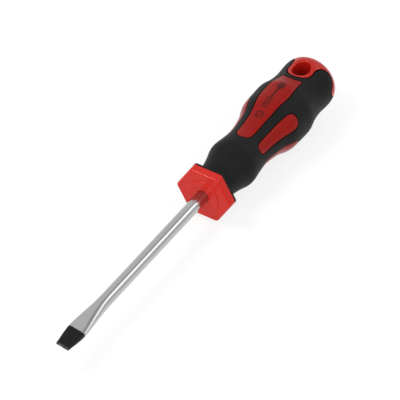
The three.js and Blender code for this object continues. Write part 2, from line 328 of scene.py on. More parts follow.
def loop_frame(chart, loop2d, towards_inside, radius):
    """For a closed loop on the surface: its boundary points, the inner ring `radius` further in, and the directions there."""
    b3, nb = chart.to3d(loop2d)
    t = np.roll(b3, -1, 0) - np.roll(b3, 1, 0)
    t /= np.linalg.norm(t, axis=1, keepdims=True)
    m = np.cross(nb, t)
    m /= np.linalg.norm(m, axis=1, keepdims=True)
    if not towards_inside(m, b3):
        m = -m
    inner2d = chart.to2d(b3 + m * radius, loop2d[:, 1] if isinstance(chart, ChartX) else None)
    i3, ni = chart.to3d(inner2d)
    m = m - ni * np.sum(m * ni, 1, keepdims=True)
    m /= np.linalg.norm(m, axis=1, keepdims=True)
    return inner2d, i3, ni, m


def hex_grid(lo, hi, step):
    dy = step * math.sqrt(3) / 2
    rows = []
    ys = np.arange(lo[1], hi[1] + dy, dy)
    for i, y in enumerate(ys):
        xs = np.arange(lo[0] + (step / 2 if i % 2 else 0), hi[0] + step, step)
        rows.append(np.stack([xs, np.full(len(xs), y)], -1))
    return np.vstack(rows)


def ring_edges(ids):
    return np.stack([ids, np.roll(ids, -1)], -1)


# ---- outlines, drawn in x and a straight width across each inlay -----------
HOLE_X, HOLE_SHIFT, HOLE_R, HOLE_STRETCH = 88.0, 0.9, 4.05, 1.25
RING_R, LOBE_END, LOBE_CORNER = 6.4, 97.3, 6.5
SCALLOP = [(92.8, 0), (93.0, 1.0), (93.6, 2.0), (94.5, 3.0), (95.4, 4.1), (96.2, 5.4), (96.8, 7.0), (97.2, 9.0)]
PATTERN_ROLL = -2.5  # degrees that the inlays and the butt sit round from the guard's flats
_cr, _sr = math.cos(math.radians(PATTERN_ROLL)), math.sin(math.radians(PATTERN_ROLL))


def rolled(p):
    p = np.asarray(p, float)
    return np.stack([p[:, 0], p[:, 1] * _cr - p[:, 2] * _sr, p[:, 1] * _sr + p[:, 2] * _cr], -1)


LONG = [
    (33.9, 0.0), (34.25, 1.5), (35.2, 2.95), (36.9, 3.85), (39.5, 4.15), (44, 4.3), (49, 4.6), (53, 5.15),
    (57, 5.85), (61, 6.4), (64.5, 6.7), (68, 6.75), (72, 6.5), (76, 5.9),
]
SIDE = [
    (34.9, 0.0), (35.2, 1.4), (36.2, 2.45), (38.4, 2.9), (42, 3.0), (46, 3.2), (50, 3.5), (54, 3.9),
    (57, 4.15), (59.3, 4.0), (61.0, 3.1), (61.9, 1.7), (62.1, 0.0),
]
REAR_ARC_R = 8.9


def long_outline():
    x, w = np.array(LONG).T
    d = np.concatenate([[0], np.cumsum(np.hypot(np.diff(x), np.diff(w)))])
    q = np.linspace(0, d[-1], 160)
    ex = np.concatenate([x[3:0:-1], x]), np.concatenate([-w[3:0:-1], w])
    ed = np.concatenate([-d[3:0:-1], d])
    xs, ws = spline(ed, ex[0])(q)[0], spline(ed, ex[1])(q)[0]
    a = math.asin(5.45 / REAR_ARC_R)
    t = np.linspace(a, 0, 24)
    arc = np.stack([HOLE_X - REAR_ARC_R * np.cos(t), REAR_ARC_R * np.sin(t)], -1)
    half = np.vstack([np.stack([xs, ws], -1), arc])
    half = resample(half, 0.12, closed=False)
    half[0, 1] = half[-1, 1] = 0
    full = np.vstack([half, half[-2:0:-1] * [1, -1]])
    return smooth_closed(resample(full, 0.15), 14)


def side_outline():
    x, w = np.array(SIDE).T
    ex = np.concatenate([x[3:0:-1], x, x[-2:-5:-1]])
    ew = np.concatenate([-w[3:0:-1], w, -w[-2:-5:-1]])
    ed = np.concatenate([[0], np.cumsum(np.hypot(np.diff(ex), np.diff(ew)))])
    q = np.linspace(ed[3], ed[-4], 160)
    half = np.stack([spline(ed, ex)(q)[0], spline(ed, ew)(q)[0]], -1)
    half[0, 1] = half[-1, 1] = 0
    full = np.vstack([half, half[-2:0:-1] * [1, -1]])
    return smooth_closed(resample(full, 0.15), 6)


def offset_outline(poly, off):
    t = np.roll(poly, -1, 0) - np.roll(poly, 1, 0)
    t /= np.linalg.norm(t, axis=1, keepdims=True)
    n = np.stack([t[:, 1], -t[:, 0]], -1)
    c = poly.mean(0)
    if np.sum((poly - c) * n) < 0:
        n = -n
    return poly + n * off


def to_chart(outline, degrees, step):
    psi0 = math.radians(degrees)
    x = outline[:, 0]
    psi = psi0 + np.arcsin(np.clip(outline[:, 1] / r_at(x), -0.999, 0.999))
    c = np.stack([x, psi * ChartX.REF], -1)
    return resample(c, step)


# angles are measured from +Y towards +Z
INLAYS = [
    ("long_inlay_top", long_outline(), 90 + PATTERN_ROLL),
    ("long_inlay_bottom", long_outline(), 270 + PATTERN_ROLL),
    ("side_inlay_front_upper", side_outline(), 150 + PATTERN_ROLL),
    ("side_inlay_front_lower", side_outline(), 210 + PATTERN_ROLL),
    ("side_inlay_back_upper", side_outline(), 30 + PATTERN_ROLL),
    ("side_inlay_back_lower", side_outline(), 330 + PATTERN_ROLL),
]
SKIN = 2.38


_scallop = spline([-z for _, z in SCALLOP[3:0:-1]] + [z for _, z in SCALLOP], [x for x, _ in SCALLOP[3:0:-1]] + [x for x, _ in SCALLOP])


def butt_quarter(off):
    """Edge of the hard butt in the quarter y >= 0, z >= 0, from the middle of the side scallop to the ring's front."""
    xe = LOBE_END - off
    c = LOBE_CORNER
    ring = RING_R + off
    a = np.linspace(math.pi, math.pi / 2, 60, endpoint=False)
    arc = np.stack([HOLE_X + ring * np.cos(a), ring * np.sin(a)], -1)
    xs = np.linspace(HOLE_X, xe - c, 20, endpoint=False)
    straight = np.stack([xs, np.full(len(xs), ring)], -1)
    a = np.linspace(0, math.pi / 2, 400)
    corner = np.stack([xe - c + c * np.sin(a), ring + c - c * np.cos(a)], -1)
    top = np.vstack([arc, straight, corner])
    z = np.sqrt(np.maximum(r_at(top[:, 0]) ** 2 - top[:, 1] ** 2, 0))
    beyond = (top[:, 0] > HOLE_X) & (top[:, 0] >= _scallop(np.minimum(z, 9.0))[0] - off)
    last = int(np.argmax(beyond))
    top, z = top[:last], z[:last]
    first = np.stack([top[:, 0], top[:, 1], z], -1)
    zz = np.linspace(z[-1], 0, 120)[1:]
    x = _scallop(zz)[0] - off
    side = np.stack([x, np.sqrt(r_at(x) ** 2 - zz**2), zz], -1)
    return np.vstack([first, side])[::-1]


def butt_loop(off, step):
    """The closed edge of the hard butt as 3D points, once round the axis."""
    a = butt_quarter(off)
    b = a[::-1] * [1, -1, 1]
    c = a * [1, -1, -1]
    d = a[::-1] * [1, 1, -1]
    full = np.vstack([a, b[1:], c[1:], d[1:-1]])
    f2 = np.vstack([full, full[:1]])
    d_ = np.concatenate([[0], np.cumsum(np.linalg.norm(np.diff(f2, axis=0), axis=1))])
    n = int(round(d_[-1] / step / 4)) * 4
    u = np.linspace(0, d_[-1], n + 1)[:-1]
    out = np.stack([np.interp(u, d_, f2[:, k]) for k in range(3)], -1)
    out = smooth_closed(out, 9)
    rad = np.hypot(out[:, 1], out[:, 2])
    out[:, 1:] *= (r_at(out[:, 0]) / rad)[:, None]
    return rolled(out)


# ---- materials -------------------------------------------------------------
def new_material(name):
    m = bpy.data.materials.new(name)
    m.use_nodes = True
    nt = m.node_tree
    nt.nodes.clear()
    out = nt.nodes.new("ShaderNodeOutputMaterial")
    bsdf = nt.nodes.new("ShaderNodeBsdfPrincipled")
    nt.links.new(bsdf.outputs[0], out.inputs[0])
    return m, nt, bsdf


def node(nt, kind, **values):
    n = nt.nodes.new(kind)
    for k, v in values.items():
        if hasattr(n, k):
            setattr(n, k, v)
        else:
            n.inputs[k].default_value = v
    return n


def ramp(nt, stops, interpolation="LINEAR"):
    n = nt.nodes.new("ShaderNodeValToRGB")
    n.color_ramp.interpolation = interpolation
    e = n.color_ramp.elements
    while len(e) > 1:
        e.remove(e[-1])
    e[0].position, e[0].color = stops[0][0], (*stops[0][1], 1) if len(stops[0][1]) == 3 else stops[0][1]
    for p, c in stops[1:]:
        s = e.new(p)
        s.color = (*c, 1) if len(c) == 3 else c
    return n


def object_coords(nt):
    return nt.nodes.new("ShaderNodeTexCoord").outputs["Object"]


def math_node(nt, op, a, b=None, clamp=False):
    n = nt.nodes.new("ShaderNodeMath")
    n.operation = op
    n.use_clamp = clamp
    for i, v in enumerate((a, b)):
        if v is None:
            continue
        if isinstance(v, (int, float)):
            n.inputs[i].default_value = v
        else:
            nt.links.new(v, n.inputs[i])
    return n.outputs[0]


def noise(nt, vec, scale, detail=3.0, rough=0.5):
    n = nt.nodes.new("ShaderNodeTexNoise")
    n.inputs["Scale"].default_value = scale
    n.inputs["Detail"].default_value = detail
    n.inputs["Roughness"].default_value = rough
    nt.links.new(vec, n.inputs["Vector"])
    return n.outputs["Fac"]


def map_range(nt, v, a, b, c, d):
    n = nt.nodes.new("ShaderNodeMapRange")
    nt.links.new(v, n.inputs["Value"])
    for k, x in zip(("From Min", "From Max", "To Min", "To Max"), (a, b, c, d)):
        n.inputs[k].default_value = x
    return n.outputs["Result"]


def mix_rgb(nt, fac, a, b):
    n = nt.nodes.new("ShaderNodeMix")
    n.data_type = "RGBA"
    for sock, v in ((n.inputs[0], fac), (n.inputs[6], a), (n.inputs[7], b)):
        if isinstance(v, (int, float)):
            sock.default_value = v
        elif isinstance(v, tuple):
            sock.default_value = (*v, 1) if len(v) == 3 else v
        else:
            nt.links.new(v, sock)
    return n.outputs[2]


def bump(nt, height, strength, distance, normal=None):
    n = nt.nodes.new("ShaderNodeBump")
    n.inputs["Strength"].default_value = strength
    n.inputs["Distance"].default_value = distance
    nt.links.new(height, n.inputs["Height"])
    if normal is not None:
        nt.links.new(normal, n.inputs["Normal"])
    return n.outputs[0]


def moulded(nt, b, base, darker, rough, spec):
    """Glossy moulded plastic: faint colour drift, softened gloss where it has been handled, very fine moulding texture."""
    o = object_coords(nt)
    broad = noise(nt, o, 55, 3, 0.55)
    fine = noise(nt, o, 1400, 2, 0.5)
    mid = noise(nt, o, 260, 4, 0.6)
    colour = mix_rgb(nt, map_range(nt, broad, 0.3, 0.7, 0, 1), base, darker)
    nt.links.new(map_range(nt, mid, 0.25, 0.75, rough - 0.05, rough + 0.07), b.inputs["Roughness"])
    n1 = bump(nt, mid, 0.06, 0.0001)
    nt.links.new(bump(nt, fine, 0.08, 0.00003, n1), b.inputs["Normal"])
    b.inputs["Specular IOR Level"].default_value = spec
    b.inputs["IOR"].default_value = 1.5
    return o, colour


def plastic(name, base, darker, rough, spec):
    m, nt, b = new_material(name)
    _, colour = moulded(nt, b, base, darker, rough, spec)
    nt.links.new(colour, b.inputs["Base Color"])
    return m


def printed_plastic(name, base, darker, rough, spec, ink):
    """The same plastic with a small printed pictogram: a slotted screw head and a flat blade."""
    m, nt, b = new_material(name)
    o, colour = moulded(nt, b, base, darker, rough, spec)
    sep = nt.nodes.new("ShaderNodeSeparateXYZ")
    nt.links.new(o, sep.inputs[0])
    u = math_node(nt, "SUBTRACT", math_node(nt, "MULTIPLY", sep.outputs[0], 1000.0), ZERO_X)
    # across the inlay, in millimetres, square to the direction that it faces
    ym = math_node(nt, "MULTIPLY", sep.outputs[1], 1000.0 * _cr)
    zm = math_node(nt, "MULTIPLY", math_node(nt, "SUBTRACT", sep.outputs[2], AXIS_Z / 1000.0), 1000.0 * _sr)
    v = math_node(nt, "ADD", ym, zm)
    av = math_node(nt, "ABSOLUTE", v)

    def below(val, limit, soft=0.07):
        return map_range(nt, math_node(nt, "SUBTRACT", val, limit), -soft, soft, 1, 0)

    def between(val, lo, hi):
        mid_, half = (lo + hi) / 2, (hi - lo) / 2
        return below(math_node(nt, "ABSOLUTE", math_node(nt, "SUBTRACT", val, mid_)), half)

    def both(a, c):
        return math_node(nt, "MINIMUM", a, c)

    def either(a, c):
        return math_node(nt, "MAXIMUM", a, c)

    du = math_node(nt, "SUBTRACT", u, 50.6)
    d = math_node(nt, "SQRT", math_node(nt, "ADD", math_node(nt, "MULTIPLY", du, du), math_node(nt, "MULTIPLY", v, v)))
    ring = below(math_node(nt, "ABSOLUTE", math_node(nt, "SUBTRACT", d, 1.8)), 0.38)
    slot = both(below(math_node(nt, "ABSOLUTE", math_node(nt, "ADD", math_node(nt, "MULTIPLY", du, 0.78), math_node(nt, "MULTIPLY", v, 0.62))), 0.36), below(d, 1.8))
    grip = both(between(u, 54.6, 61.3), below(av, 1.75))
    ribs = math_node(nt, "ABSOLUTE", math_node(nt, "SUBTRACT", math_node(nt, "FRACT", math_node(nt, "MULTIPLY", math_node(nt, "SUBTRACT", u, 54.6), 1 / 1.34)), 0.5))
    grip = both(grip, map_range(nt, ribs, 0.25, 0.32, 1, 0))
    shank = both(between(u, 61.2, 67.6), below(av, 0.6))
    wide = math_node(nt, "ADD", math_node(nt, "MULTIPLY", math_node(nt, "SUBTRACT", u, 67.4), 0.52), 0.6)
    flare = both(between(u, 67.4, 70.2), map_range(nt, math_node(nt, "SUBTRACT", av, wide), -0.07, 0.07, 1, 0))
    tip_w = math_node(nt, "SUBTRACT", 2.05, math_node(nt, "MULTIPLY", math_node(nt, "SUBTRACT", u, 70.2), 0.22))
    tip_ = both(between(u, 70.1, 73.2), map_range(nt, math_node(nt, "SUBTRACT", av, tip_w), -0.07, 0.07, 1, 0))
    mark = either(either(either(ring, slot), either(grip, shank)), either(flare, tip_))
    worn = map_range(nt, noise(nt, o, 700, 3, 0.6), 0.3, 0.62, 0.55, 0.88)
    nt.links.new(mix_rgb(nt, math_node(nt, "MULTIPLY", mark, worn), colour, ink), b.inputs["Base Color"])
    return m


def rubber(name):
    """Soft elastomer: nearly black, fine matt grain, slightly polished and dusty in patches."""
    m, nt, b = new_material(name)
    o = object_coords(nt)
    broad = noise(nt, o, 38, 4, 0.6)
    grain = noise(nt, o, 2600, 2, 0.6)
    mid = noise(nt, o, 420, 3, 0.6)
    nt.links.new(mix_rgb(nt, map_range(nt, broad, 0.3, 0.72, 0, 1), (0.0058, 0.0063, 0.0064), (0.0085, 0.0091, 0.0091)), b.inputs["Base Color"])
    nt.links.new(map_range(nt, mid, 0.2, 0.8, 0.48, 0.62), b.inputs["Roughness"])
    n1 = bump(nt, mid, 0.12, 0.00014)
    nt.links.new(bump(nt, grain, 0.22, 0.00004, n1), b.inputs["Normal"])
    b.inputs["Specular IOR Level"].default_value = 0.11
    b.inputs["IOR"].default_value = 1.5
    return m


def steel(name):
    """Bright plated shank with fine polishing lines, and a blackened tip with worn edges."""
    m, nt, b = new_material(name)
    o = object_coords(nt)
    sep = nt.nodes.new("ShaderNodeSeparateXYZ")
    nt.links.new(o, sep.inputs[0])
    # distance from the working edge, in millimetres
    d = math_node(nt, "SUBTRACT", math_node(nt, "MULTIPLY", sep.outputs[0], 1000.0), TIP + ZERO_X)
    wob = noise(nt, o, 900, 3, 0.6)
    edge = math_node(nt, "ADD", d, math_node(nt, "MULTIPLY", math_node(nt, "SUBTRACT", wob, 0.5), 0.55))
    black = map_range(nt, edge, 11.75, 12.15, 1, 0)
    # wear: the oxide is rubbed thin on the tip's edges, which are found by how far the surface bends
    geo = nt.nodes.new("ShaderNodeNewGeometry")
    point = map_range(nt, geo.outputs["Pointiness"], 0.508, 0.56, 0, 1)
    patches = noise(nt, o, 500, 4, 0.65)
    rub = math_node(nt, "MULTIPLY", map_range(nt, patches, 0.42, 0.68, 0.15, 1), point, True)
    tipwear = map_range(nt, d, 0.0, 1.1, 0.55, 0.0)
    wear = math_node(nt, "MAXIMUM", rub, math_node(nt, "MULTIPLY", tipwear, map_range(nt, patches, 0.35, 0.62, 0.2, 1)), True)
    # fine lines round the shank left by polishing
    mp = nt.nodes.new("ShaderNodeMapping")
    mp.inputs["Scale"].default_value = (9000, 260, 260)
    nt.links.new(o, mp.inputs[0])
    lines = noise(nt, mp.outputs[0], 1.0, 2, 0.5)
    smudge = noise(nt, o, 70, 3, 0.55)
    chrome = mix_rgb(nt, map_range(nt, smudge, 0.3, 0.7, 0, 1), (0.495, 0.496, 0.492), (0.468, 0.470, 0.468))
    oxide = mix_rgb(nt, map_range(nt, patches, 0.3, 0.7, 0, 1), (0.0060, 0.0059, 0.0057), (0.0088, 0.0085, 0.0082))
    oxide_w = mix_rgb(nt, wear, oxide, (0.14, 0.135, 0.125))
    nt.links.new(mix_rgb(nt, black, chrome, oxide_w), b.inputs["Base Color"])
    rc = map_range(nt, lines, 0.3, 0.7, 0.10, 0.17)
    ro = map_range(nt, patches, 0.3, 0.7, 0.42, 0.55)
    mixr = nt.nodes.new("ShaderNodeMix")
    nt.links.new(black, mixr.inputs[0])
    nt.links.new(rc, mixr.inputs[2])
    nt.links.new(ro, mixr.inputs[3])
    nt.links.new(mixr.outputs[0], b.inputs["Roughness"])
    met = nt.nodes.new("ShaderNodeMix")
    nt.links.new(black, met.inputs[0])
    met.inputs[2].default_value = 1.0
    met.inputs[3].default_value = 0.0
    nt.links.new(met.outputs[0], b.inputs["Metallic"])
    b.inputs["Specular IOR Level"].default_value = 0.12
    n1 = bump(nt, lines, 0.05, 0.00002)
    nt.links.new(bump(nt, patches, 0.06, 0.00004, n1), b.inputs["Normal"])
    return m


MAT_RED = plastic("moulded_red", (0.50, 0.0115, 0.0048), (0.475, 0.0100, 0.0044), 0.20, 0.24)
# painted shade: the butt is the same red plastic as the guard, given a darker copy of its colour to stand in for its
# shading
MAT_BUTT_PAINTED_SHADE = plastic("moulded_red_butt_painted_shade", (0.400, 0.0095, 0.0046), (0.375, 0.0085, 0.0042), 0.24, 0.22)
# painted shade: the inlays are the same red plastic as the guard, and this darker copy of its colour paints in the
# shade that darkens them
INLAY_RED_PAINTED_SHADE = ((0.242, 0.0068, 0.0044), (0.225, 0.0060, 0.0040), 0.25, 0.11)
MAT_INLAY_PAINTED_SHADE = plastic("moulded_inlay_red_painted_shade", *INLAY_RED_PAINTED_SHADE)
MAT_PRINTED_INLAY_PAINTED_SHADE = printed_plastic("moulded_inlay_red_painted_shade_printed", *INLAY_RED_PAINTED_SHADE, (0.030, 0.0065, 0.0055))
MAT_RUBBER = rubber("soft_black")
MAT_STEEL = steel("plated_steel")


def core_material():
    m, nt, b = new_material("core_grey")
    o = object_coords(nt)
    f = noise(nt, o, 300, 3, 0.6)
    nt.links.new(mix_rgb(nt, f, (0.02, 0.021, 0.022), (0.034, 0.035, 0.036)), b.inputs["Base Color"])
    nt.links.new(map_range(nt, f, 0.3, 0.7, 0.5, 0.65), b.inputs["Roughness"])
    nt.links.new(bump(nt, f, 0.15, 0.0001), b.inputs["Normal"])
    return m


def add_piece(name, mesh, material, nodes):
    ob = bpy.data.objects.new(name, mesh)
    bpy.context.scene.collection.objects.link(ob)
    mesh.materials.clear()
    mesh.materials.append(material)
    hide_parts(*nodes)
    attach(ob, BODY)
    return ob


# ---- inlays ----------------------------------------------------------------
def patch(name, chart, outer2d, radius, step, depth):
    """A closed inlay: crowned face, rolled edges, walls and a back, all on the handle's surface."""
    poly = np.asarray(outer2d)
    centre = poly.mean(0)
    c3, _ = chart.to3d(centre[None])

    def inward(m, b3):
        return np.sum(m * (c3 - b3)) > 0

    inner2d, i3, ni, m = loop_frame(chart, poly, inward, radius)
    grid = hex_grid(poly.min(0), poly.max(0), step)
    grid = grid[inside(inner2d, grid)]
    grid = grid[dist_to(inner2d, grid) > step * 0.45]
    pts = np.vstack([inner2d, grid])
    ring = np.arange(len(inner2d))
    tri = triangulate(pts, ring_edges(ring), lambda c: inside(inner2d, c))
    bl = Builder()
    p3, n3 = chart.to3d(pts)
    top = bl.add(p3, n3)
    bl.tris(top[tri])
    low = fillet_rings(bl, i3, ni, m, radius, 5, depth, top[ring], False)
    q3, qn = chart.to3d(pts, depth)
    back = bl.add(q3, -qn)
    bl.tris(back[tri][:, ::-1])
    bl.bridge(low, back[ring], False)
    return bl.mesh(name)


CX, CP = ChartX(), ChartPole()
INLAY_LOOPS = {}
for name, outline, deg in INLAYS:
    loop = to_chart(offset_outline(outline, -0.04), deg, 0.33)
    INLAY_LOOPS[name] = (outline, deg)
    me = patch(name + "_mesh", CX, loop, 0.22, 0.85, SKIN)
    add_piece(name + "_moulding", me, MAT_PRINTED_INLAY_PAINTED_SHADE if name == "long_inlay_top" else MAT_INLAY_PAINTED_SHADE, [name])


# ---- soft sleeve -----------------------------------------------------------
def hex_outline(af, corner, psi):
    """Radius of a hexagon with rounded corners and flats facing up and down, at angles from +Y."""
    big = af / math.sqrt(3)
    d = corner / math.cos(math.pi / 6)
    c = big - d
    a = (psi + math.pi / 6) % (math.pi / 3) - math.pi / 6  # angle from the nearest corner
    flat = af / 2 / np.cos(math.pi / 6 - np.abs(a))
    # the corner's arc: a circle of radius `corner` about a point at distance c
    disc = np.maximum(corner**2 - (c * np.sin(a)) ** 2, 0)
    arc = c * np.cos(a) + np.sqrt(disc)
    # the arc holds while its touching point with the flats hasn't been passed
    y_touch = corner * math.sin(math.pi / 6)
    lim = np.arctan2(y_touch, c + corner * math.cos(math.pi / 6))
    return np.where(np.abs(a) < lim, arc, flat)


def hex_ring(af, corner, n):
    """n points round the rounded hexagon, spread by angle, denser at the corners, as angles and radii."""
    k = n // 6
    base = np.linspace(-1, 1, k, endpoint=False)
    a = np.sign(base) * np.abs(base) ** 1.6 * (math.pi / 6)
    psi = np.concatenate([a + i * math.pi / 3 for i in range(6)])
    return psi, hex_outline(af, corner, psi)


N_HEX = 240
PSI_HEX, _ = hex_ring(GUARD_AF, HEX_CORNER, N_HEX)


def hex_points(x, af, corner):
    r = hex_outline(af, corner, PSI_HEX)
    return np.stack([np.full(N_HEX, x), r * np.cos(PSI_HEX), r * np.sin(PSI_HEX)], -1)


def circle_points(x, r):
    return np.stack([np.full(N_HEX, x), r * np.cos(PSI_HEX), r * np.sin(PSI_HEX)], -1)


def hex_normals(af, corner):
    p = hex_points(0, af, corner)
    t = np.roll(p, -1, 0) - np.roll(p, 1, 0)
    n = np.cross(t, np.array([1.0, 0, 0]))
    n /= np.linalg.norm(n, axis=1, keepdims=True)
    out = np.stack([np.zeros(N_HEX), np.cos(PSI_HEX), np.sin(PSI_HEX)], -1)
    return n * np.sign(np.sum(n * out, 1, keepdims=True))


def sleeve():
    radius, step = 0.24, 1.05
    x_front = 10.0
    ref = ChartX.REF
    bl = Builder()
    full = 2 * math.pi * ref
    # the front ring matches the flange's columns, starting at angle 0
    psi0 = np.sort(PSI_HEX % (2 * math.pi))
    order = np.argsort(PSI_HEX % (2 * math.pi))
    if psi0[0] > 1e-9:
        raise RuntimeError("the columns have to start at angle 0")
    front = np.stack([np.full(N_HEX, x_front), psi0 * ref], -1)
    # rear edge, once round, starting at angle 0
    rear3 = butt_loop(0.10, 0.33)
    r2 = CX.to2d(rear3)
    r2[:, 1] %= full
    k = int(np.argmin(np.minimum(r2[:, 1], full - r2[:, 1])))
    r2 = np.roll(r2, -k, 0)
    if r2[1, 1] > full / 2:
        r2 = np.roll(r2[::-1], 1, 0)
    r2[0, 1] = 0.0
    rin2, ri3, rin, rm = loop_frame(CX, r2, lambda m, b3: m[0, 0] < 0, radius)
    rin2[:, 1] = np.where(rin2[:, 1] < -1e-6, rin2[:, 1] + full, rin2[:, 1])
    rin2[0, 1] = 0.0
    # windows
    holes = []
    for name, (outline, deg) in INLAY_LOOPS.items():
        loop = to_chart(offset_outline(outline, 0.10), deg % 360, 0.33)
        centre = loop.mean(0)
        c3, _ = CX.to3d(centre[None])
        inner2d, i3, ni, m = loop_frame(CX, loop, lambda mm, b3: np.sum(mm * (c3 - b3)) < 0, radius)
        holes.append((inner2d, i3, ni, m))
    # points: front, rear, seam, windows, grid
    seam_x = np.arange(x_front + step, rin2[0, 0] - step * 0.6, step)
    pts, edges = [], []

    def put(a):
        start = sum(len(p) for p in pts)
        pts.append(np.asarray(a, float))
        return np.arange(start, start + len(a))

    i_front = put(front)
    i_front_end = put([[x_front, full]])
    i_rear = put(rin2)
    i_rear_end = put([[rin2[0, 0], full]])
    i_sa = put(np.stack([seam_x, np.zeros(len(seam_x))], -1))
    i_sb = put(np.stack([seam_x, np.full(len(seam_x), full)], -1))
    chain = lambda a: np.stack([a[:-1], a[1:]], -1)
    edges += [chain(np.concatenate([i_front, i_front_end])), chain(np.concatenate([i_rear, i_rear_end]))]
    edges += [chain(np.concatenate([i_front[:1], i_sa, i_rear[:1]])), chain(np.concatenate([i_front_end, i_sb, i_rear_end]))]
    hole_ids = []
    for inner2d, i3, ni, m in holes:
        ids = put(inner2d)
        hole_ids.append(ids)
        edges.append(ring_edges(ids))
    border = np.vstack([front, [[x_front, full]], np.stack([seam_x, np.full(len(seam_x), full)], -1), [[rin2[0, 0], full]], rin2[::-1], np.stack([seam_x, np.zeros(len(seam_x))], -1)[::-1]])
    grid = hex_grid(np.array([x_front, 0]), np.array([100.0, full]), step)
    grid = grid[inside(border, grid)]
    for inner2d, *_ in holes:
        grid = grid[~inside(inner2d, grid)]
        grid = grid[dist_to(inner2d, grid) > step * 0.45]
    grid = grid[dist_to(border, grid) > step * 0.45]
    put(grid)
    P = np.vstack(pts)

    def keep(c):
        ok = inside(border, c)
        for inner2d, *_ in holes:
            ok &= ~inside(inner2d, c)
        return ok

    tri = triangulate(P, np.vstack(edges), keep)
    alias = np.arange(len(P))
    alias[i_front_end] = i_front[0]
    alias[i_rear_end] = i_rear[0]
    alias[i_sb] = i_sa
    tri = alias[tri]
    top3, topn = CX.to3d(P)
    top = bl.add(top3, topn)
    bl.tris(top[tri])
    low3, lown = CX.to3d(P, SKIN)
    low = bl.add(low3, -lown)
    bl.tris(low[tri][:, ::-1])
    for (inner2d, i3, ni, m), ids in zip(holes, hole_ids):
        last = fillet_rings(bl, i3, ni, m, radius, 5, SKIN, top[ids], False)
        bl.bridge(last, low[ids], False)
    last = fillet_rings(bl, ri3, rin, rm, radius, 5, SKIN, top[i_rear], False)
    bl.bridge(last, low[i_rear], False)
    # front: neck, hollow corner and hexagonal flange
    inv = np.empty(N_HEX, int)
    inv[:] = order

    def ring(p, n):
        return bl.add(p[order], n[order])

    def radial(nx, nr):
        return np.stack([np.full(N_HEX, nx), nr * np.cos(PSI_HEX), nr * np.sin(PSI_HEX)], -1)

    prev = top[i_front]
    for x in np.arange(x_front - 0.6, FLANGE_REAR + 1.3, -0.6):
        nx, nr = float(np.interp(x, _px, _nx)), float(np.interp(x, _px, _nr))
        ids = ring(circle_points(x, float(r_at(x))), radial(nx, nr))
        bl.bridge(prev, ids)
        prev = ids
    fr = 1.0
    r_neck = float(r_at(FLANGE_REAR + fr))
    for kk in range(0, 7):
        a = math.pi / 2 * kk / 6
        x = FLANGE_REAR + fr - fr * math.sin(a)
        r = r_neck + fr - fr * math.cos(a)
        ids = ring(circle_points(x, r), radial(math.sin(a), math.cos(a)))
        bl.bridge(prev, ids)
        prev = ids
    f = 0.28
    hn = hex_normals(GUARD_AF, HEX_CORNER)
    r_in = r_neck + fr
    base = hex_points(FLANGE_REAR, GUARD_AF - 2 * f, HEX_CORNER - f)
    rb = np.hypot(base[:, 1], base[:, 2])
    for w in (0.33, 0.66, 1.0):
        r = r_in + (rb - r_in) * w
        p = np.stack([np.full(N_HEX, FLANGE_REAR), r * np.cos(PSI_HEX), r * np.sin(PSI_HEX)], -1)
        ids = ring(p, np.tile([1.0, 0, 0], (N_HEX, 1)))
        bl.bridge(prev, ids)
        prev = ids
    for kk in range(1, 6):
        a = math.pi / 2 * kk / 5
        g = GUARD_AF - 2 * f + 2 * f * math.sin(a)
        c = HEX_CORNER - f + f * math.sin(a)
        p = hex_points(FLANGE_REAR - f + f * math.cos(a), g, c)
        nn = hn * math.sin(a) + np.array([math.cos(a), 0, 0])
        ids = ring(p, nn)
        bl.bridge(prev, ids)
        prev = ids
    for kk in range(0, 5):
        a = math.pi / 2 * (1 - kk / 4)
        g = GUARD_AF - 2 * 0.12 + 2 * 0.12 * math.sin(a)
        c = HEX_CORNER - 0.12 + 0.12 * math.sin(a)
        p = hex_points(FLANGE_FRONT + 0.12 - 0.12 * math.cos(a), g, c)
        nn = hn * math.sin(a) + np.array([-math.cos(a), 0, 0])
        ids = ring(p, nn)
        bl.bridge(prev, ids)
        prev = ids
    for r in (10.0, 6.6):
        ids = ring(circle_points(FLANGE_FRONT, r), np.tile([-1.0, 0, 0], (N_HEX, 1)))
        bl.bridge(prev, ids)
        prev = ids
    bl.bridge(prev, low[i_front])
    return bl.mesh("soft_grip_mesh")


add_piece("soft_grip_moulding", sleeve(), MAT_RUBBER, ["soft_grip"])


